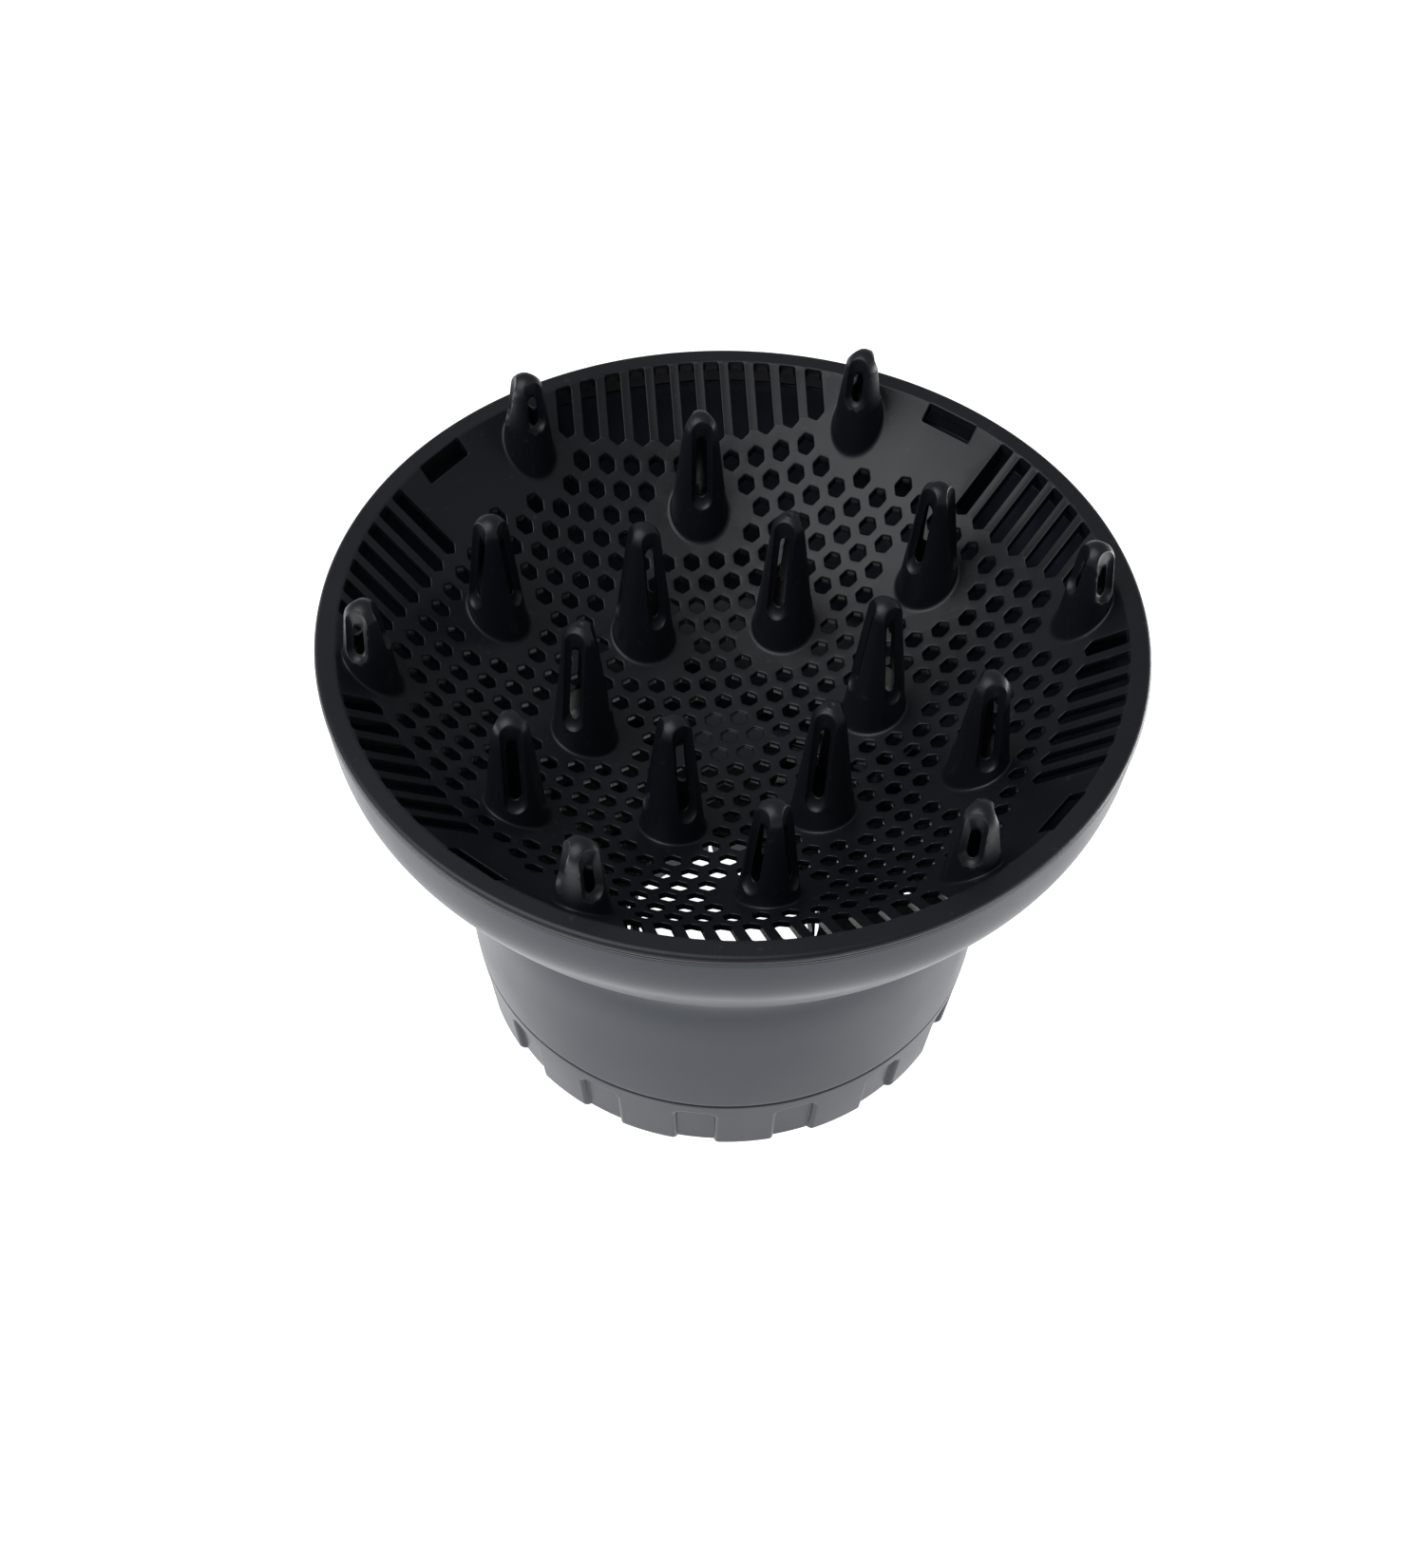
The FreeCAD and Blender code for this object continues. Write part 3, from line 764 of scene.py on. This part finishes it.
def pocket_columns():
    """Angles round the ring, close together at the sides of the pockets."""
    half = POCKET_SPAN / 2
    offsets = [0.0]
    for span, count in ((half - 3.4, 4), (half - 1.2, 8), (half + 0.1, 14), (180 / POCKETS, 5)):
        start = offsets[-1]
        offsets += [start + (span - start) * (k + 1) / count for k in range(count)]
    whole = sorted(set([-o for o in offsets[1:-1]] + offsets))
    return [POCKET_PHASE + 360 / POCKETS * k + o for k in range(POCKETS) for o in whole]


def build_grip_ring(material):
    columns = pocket_columns()
    heights = [0.0, 0.12, 0.3, 0.55, 0.9, 1.6]
    for z, count in ((POCKET_HIGH_Z - POCKET_CORNER, 9), (POCKET_HIGH_Z - 1.2, 8), (POCKET_HIGH_Z + 0.1, 14),
                     (RING_HIGH_Z - 0.6, 4)):
        start = heights[-1]
        heights += [start + (z - start) * (k + 1) / count for k in range(count)]
    heights += [RING_HIGH_Z - 0.35, RING_HIGH_Z - 0.15, RING_HIGH_Z - 0.04, RING_HIGH_Z]
    skin = Skin()
    rows = []
    for z in heights:
        row = []
        for degrees in columns:
            nearest = round((degrees - POCKET_PHASE) / (360 / POCKETS))
            away = degrees - POCKET_PHASE - 360 / POCKETS * nearest
            share = pocket_share(RING_RADII[0] * math.sin(math.radians(away)), z)
            floor = RING_RADII[0] - POCKET_DEPTH + (RING_RADII[1] - RING_RADII[0]) * z / RING_HIGH_Z
            radius = ring_outside(z)
            radius += (min(floor, radius) - radius) * share
            row.append((*polar(radius, degrees), z))
        rows.append(skin.add(row))
    ledge_r, ledge_low, ledge_high = RING_LEDGE
    bead_r, bead_low, bead_high = RING_BEAD
    inside = [(RING_BORE + 0.3, RING_HIGH_Z), (RING_BORE, RING_HIGH_Z - 0.3), (RING_BORE, bead_high + 0.6)]
    inside += [(bead_r + 0.3, bead_high + 0.1), (bead_r, bead_high - 0.2), (bead_r, bead_low + 0.3)]
    inside += [(bead_r + 0.3, bead_low), (RING_BORE, bead_low), (RING_BORE, ledge_high)]
    inside += [(ledge_r + 0.25, ledge_high), (ledge_r, ledge_high - 0.25), (ledge_r, ledge_low + 0.25)]
    inside += [(ledge_r + 0.25, ledge_low), (RING_BORE, ledge_low), (RING_BORE, 0.3), (RING_BORE + 0.3, 0.0)]
    for r, z in inside:
        rows.append(skin.add([(*polar(r, degrees), z) for degrees in columns]))
    for low, high in zip(rows, rows[1:] + rows[:1]):
        skin.strip(low, high)
    ring = skin.build("grip_ring_body", material)
    weigh_normals(ring)
    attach(ring, "ring")
    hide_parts("grip_ring")


def soften(name, node_name, body, material, width):
    """A copy of a CAD node with its edges rounded."""
    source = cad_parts[node_name]
    mesh = bmesh.new()
    mesh.from_mesh(source.data)
    mesh.transform(source.matrix_world)
    bmesh.ops.remove_doubles(mesh, verts=mesh.verts, dist=2e-6)
    bmesh.ops.dissolve_limit(mesh, angle_limit=math.radians(0.8), verts=mesh.verts, edges=mesh.edges)
    sharp = [e for e in mesh.edges if e.is_manifold and e.calc_face_angle(0) > math.radians(35)]
    bmesh.ops.bevel(mesh, geom=sharp, offset=width * MM, segments=2, profile=0.6, affect="EDGES",
                    clamp_overlap=True)
    data = bpy.data.meshes.new(name)
    mesh.to_mesh(data)
    mesh.free()
    for polygon in data.polygons:
        polygon.use_smooth = True
    data.materials.append(material)
    piece = bpy.data.objects.new(name, data)
    bpy.context.scene.collection.objects.link(piece)
    weigh_normals(piece)
    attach(piece, body)
    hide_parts(node_name)


def build_pad(number, material):
    """A grip pad: a curved silicone strip with fine upright ridges on its face."""
    back = JAW_GRIP_RADIUS + PAD_THICKNESS - 0.02
    low, high = JAW_Z
    half = math.degrees(math.asin(JAW_SIDE_GAP / JAW_GRIP_RADIUS))
    reach = 30 - half - 0.2
    columns = PAD_COLUMNS
    foot_edge = [(low, 0.25), (low + 0.12, 0.08), (low + 0.35, 0.0)]
    top_edge = [(high - 0.35, 0.0), (high - 0.12, 0.08), (high, 0.25)]
    skin = Skin()
    rows = []
    for z, inset in foot_edge + top_edge:
        face = []
        for k in range(columns + 1):
            angle = -reach + 2 * reach * k / columns
            wave = math.cos(2 * math.pi * k / RIDGE_COLUMNS) if 3 <= k <= columns - 3 else 0.0
            ridge = RIDGE_DEPTH / 2 * (1 - wave)
            face.append((JAW_GRIP_RADIUS + 0.02 + ridge + inset, angle))
        rear = [(back, reach), (back, -reach)]
        row = []
        for radius, angle in face + rear:
            row.append((*polar(radius, angle + 60 * (number - 1)), z))
        rows.append(skin.add(row))
    for lower, upper in zip(rows, rows[1:]):
        skin.strip(lower, upper, flip=True)
    for row, flip in ((rows[0], False), (rows[-1], True)):
        last = len(row) - 1
        for k in range(columns):
            mid = row[last] if k < columns / 2 else row[last - 1]
            corner = (row[k], row[k + 1], mid)
            skin.faces.append(corner[::-1] if flip else corner)
        middle = columns // 2
        corner = (row[middle], row[last - 1], row[last])
        skin.faces.append(corner[::-1] if flip else corner)
    pad = skin.build("pad_%d" % number, material)
    weigh_normals(pad)
    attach(pad, "jaw_%d" % number)
    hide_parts("grip_pad_%d" % number)


# ---------------------------------------------------------------- materials
def surface(name):
    material = bpy.data.materials.new(name)
    material.use_nodes = True
    nodes, links = material.node_tree.nodes, material.node_tree.links
    place = nodes.new("ShaderNodeTexCoord")
    return material, nodes, links, nodes["Principled BSDF"], place.outputs["Object"]


def noise(nodes, links, vector, scale, detail):
    texture = nodes.new("ShaderNodeTexNoise")
    texture.inputs["Scale"].default_value = scale
    texture.inputs["Detail"].default_value = detail
    links.new(vector, texture.inputs["Vector"])
    return texture.outputs["Fac"]


def remap(nodes, links, value, low, high):
    spread = nodes.new("ShaderNodeMapRange")
    spread.inputs["From Min"].default_value = 0.3
    spread.inputs["From Max"].default_value = 0.7
    spread.inputs["To Min"].default_value = low
    spread.inputs["To Max"].default_value = high
    links.new(value, spread.inputs["Value"])
    return spread.outputs["Result"]


def plastic(name, colour, roughness, grain, grain_size, mottle, depth=0.00008, dust=0.0, gloss=0.5, tint=1.0):
    """Moulded plastic: fine grain, faint cloudiness in colour and gloss, a trace of dust if asked."""
    material, nodes, links, shader, place = surface(name)
    shader.inputs["Specular IOR Level"].default_value = gloss
    shader.inputs["Specular Tint"].default_value = (tint, (1 + tint) / 2, 1, 1)
    cloud = noise(nodes, links, place, 38.0, 5.0)
    speck = noise(nodes, links, place, 420.0, 3.0)
    blend = nodes.new("ShaderNodeMixRGB")
    blend.inputs["Color1"].default_value = (*[c * (1 - mottle) for c in colour], 1)
    blend.inputs["Color2"].default_value = (*[c * (1 + mottle) for c in colour], 1)
    links.new(remap(nodes, links, cloud, 0.0, 1.0), blend.inputs["Fac"])
    shade = blend.outputs["Color"]
    if dust:
        sharp = nodes.new("ShaderNodeMapRange")
        sharp.inputs["From Min"].default_value = 0.66
        sharp.inputs["From Max"].default_value = 0.78
        sharp.inputs["To Max"].default_value = dust
        links.new(speck, sharp.inputs["Value"])
        powder = nodes.new("ShaderNodeMixRGB")
        powder.inputs["Color2"].default_value = (0.16, 0.165, 0.17, 1)
        links.new(sharp.outputs["Result"], powder.inputs["Fac"])
        links.new(shade, powder.inputs["Color1"])
        shade = powder.outputs["Color"]
    links.new(shade, shader.inputs["Base Color"])
    links.new(remap(nodes, links, cloud, roughness - 0.04, roughness + 0.05), shader.inputs["Roughness"])
    bump = nodes.new("ShaderNodeBump")
    bump.inputs["Strength"].default_value = grain
    bump.inputs["Distance"].default_value = depth
    links.new(noise(nodes, links, place, grain_size, 3.0), bump.inputs["Height"])
    links.new(bump.outputs["Normal"], shader.inputs["Normal"])
    return material


def steel(name):
    """Zinc-plated steel with faint turning marks."""
    material, nodes, links, shader, place = surface(name)
    shader.inputs["Metallic"].default_value = 1.0
    marks = nodes.new("ShaderNodeTexWave")
    marks.wave_type = "RINGS"
    marks.rings_direction = "Z"
    marks.inputs["Scale"].default_value = 900.0
    marks.inputs["Distortion"].default_value = 3.0
    links.new(place, marks.inputs["Vector"])
    cloud = noise(nodes, links, place, 160.0, 4.0)
    tint = nodes.new("ShaderNodeMixRGB")
    tint.inputs["Color1"].default_value = (0.50, 0.51, 0.53, 1)
    tint.inputs["Color2"].default_value = (0.63, 0.63, 0.62, 1)
    links.new(cloud, tint.inputs["Fac"])
    links.new(tint.outputs["Color"], shader.inputs["Base Color"])
    links.new(remap(nodes, links, cloud, 0.26, 0.40), shader.inputs["Roughness"])
    bump = nodes.new("ShaderNodeBump")
    bump.inputs["Strength"].default_value = 0.25
    bump.inputs["Distance"].default_value = 0.00004
    links.new(marks.outputs["Fac"], bump.inputs["Height"])
    links.new(bump.outputs["Normal"], shader.inputs["Normal"])
    return material


GRILLE_BLACK = plastic("grille_black", (0.0062, 0.0074, 0.0108), 0.40, 0.30, 2600.0, 0.10,
                       dust=0.10, gloss=0.38)
SHELL_GREY = plastic("shell_grey", (0.018, 0.0215, 0.030), 0.34, 0.30, 2200.0, 0.04, gloss=0.26, tint=0.83)
NYLON_BLACK = plastic("nylon_black", (0.014, 0.0145, 0.016), 0.50, 0.45, 1500.0, 0.12)
SILICONE_GREY = plastic("silicone_grey", (0.040, 0.042, 0.046), 0.72, 0.25, 3200.0, 0.08)
SCREW_STEEL = steel("screw_steel")

# ---------------------------------------------------------------- pieces
grille = build_grille(GRILLE_BLACK)
weigh_normals(grille)
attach(grille, "diffuser")
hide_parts("grille_bowl", "inner_prongs", "middle_prongs", "outer_prongs")
build_shell(SHELL_GREY)
build_grip_ring(SHELL_GREY)
soften("carrier_body", "jaw_carrier", "diffuser", NYLON_BLACK, 0.25)
soften("cam_body", "cam_plate", "ring", NYLON_BLACK, 0.25)
soften("carrier_screw_set", "carrier_screws", "diffuser", SCREW_STEEL, 0.12)
soften("cam_screw_set", "cam_screws", "ring", SCREW_STEEL, 0.10)
for number in range(1, 7):
    soften("jaw_body_%d" % number, "jaw_%d" % number, "jaw_%d" % number, NYLON_BLACK, 0.35)
    build_pad(number, SILICONE_GREY)


# ---------------------------------------------------------------- floor, light and camera
def stage():
    """A plain pale floor lit from below like a light table, most of all under the object."""
    mesh = bpy.data.meshes.new("floor")
    half = 6.0
    corners = [(-half, -half, 0), (half, -half, 0), (half, half, 0), (-half, half, 0)]
    mesh.from_pydata(corners, [], [(0, 1, 2, 3)])
    floor = bpy.data.objects.new("floor", mesh)
    bpy.context.scene.collection.objects.link(floor)
    material, nodes, links, shader, place = surface("floor_white")
    shader.inputs["Base Color"].default_value = (0.80, 0.80, 0.80, 1)
    shader.inputs["Roughness"].default_value = 0.9
    shader.inputs["Emission Color"].default_value = (1, 1, 1, 1)
    distance = nodes.new("ShaderNodeVectorMath")
    distance.operation = "LENGTH"
    links.new(place, distance.inputs[0])
    glow = nodes.new("ShaderNodeMapRange")
    glow.interpolation_type = "SMOOTHSTEP"
    glow.inputs["From Min"].default_value = GLOW_REACH[0]
    glow.inputs["From Max"].default_value = GLOW_REACH[1]
    glow.inputs["To Min"].default_value = FLOOR_GLOW[0]
    glow.inputs["To Max"].default_value = FLOOR_GLOW[1]
    links.new(distance.outputs["Value"], glow.inputs["Value"])
    links.new(glow.outputs["Result"], shader.inputs["Emission Strength"])
    mesh.materials.append(material)


def soft_light(name, place, size, power, aim=(0, 0, 0.06)):
    data = bpy.data.lights.new(name, "AREA")
    data.shape = "RECTANGLE"
    data.size, data.size_y = size
    data.energy = power
    lamp = bpy.data.objects.new(name, data)
    lamp.location = place
    lamp.rotation_euler = (Vector(aim) - Vector(place)).to_track_quat("-Z", "Y").to_euler()
    lamp.visible_camera = False
    bpy.context.scene.collection.objects.link(lamp)


stage()
world = bpy.data.worlds.new("studio")
bpy.context.scene.world = world
world.use_nodes = True
world.node_tree.nodes["Background"].inputs["Color"].default_value = (1, 1, 1, 1)
world.node_tree.nodes["Background"].inputs["Strength"].default_value = WORLD_LIGHT
soft_light("left", (-0.40, 0.02, 0.06), (0.30, 0.11), 0.55, aim=(0, 0.02, 0.05))
soft_light("right", (0.40, 0.02, 0.06), (0.30, 0.11), 1.5, aim=(0, 0.02, 0.05))
soft_light("top", (-0.45, -0.15, 0.90), (0.9, 0.9), 7.0)
bpy.context.scene.view_settings.view_transform = "Standard"

camera_data = bpy.data.cameras.new("camera")
camera_data.sensor_width = 36.0
camera_data.lens = 53.34
camera = bpy.data.objects.new("camera", camera_data)
camera.location = (-0.05286, -0.32315, 0.45254)
camera.rotation_euler = [math.radians(angle) for angle in (39.744, -1.094, -7.391)]
bpy.context.scene.collection.objects.link(camera)
bpy.context.scene.camera = camera
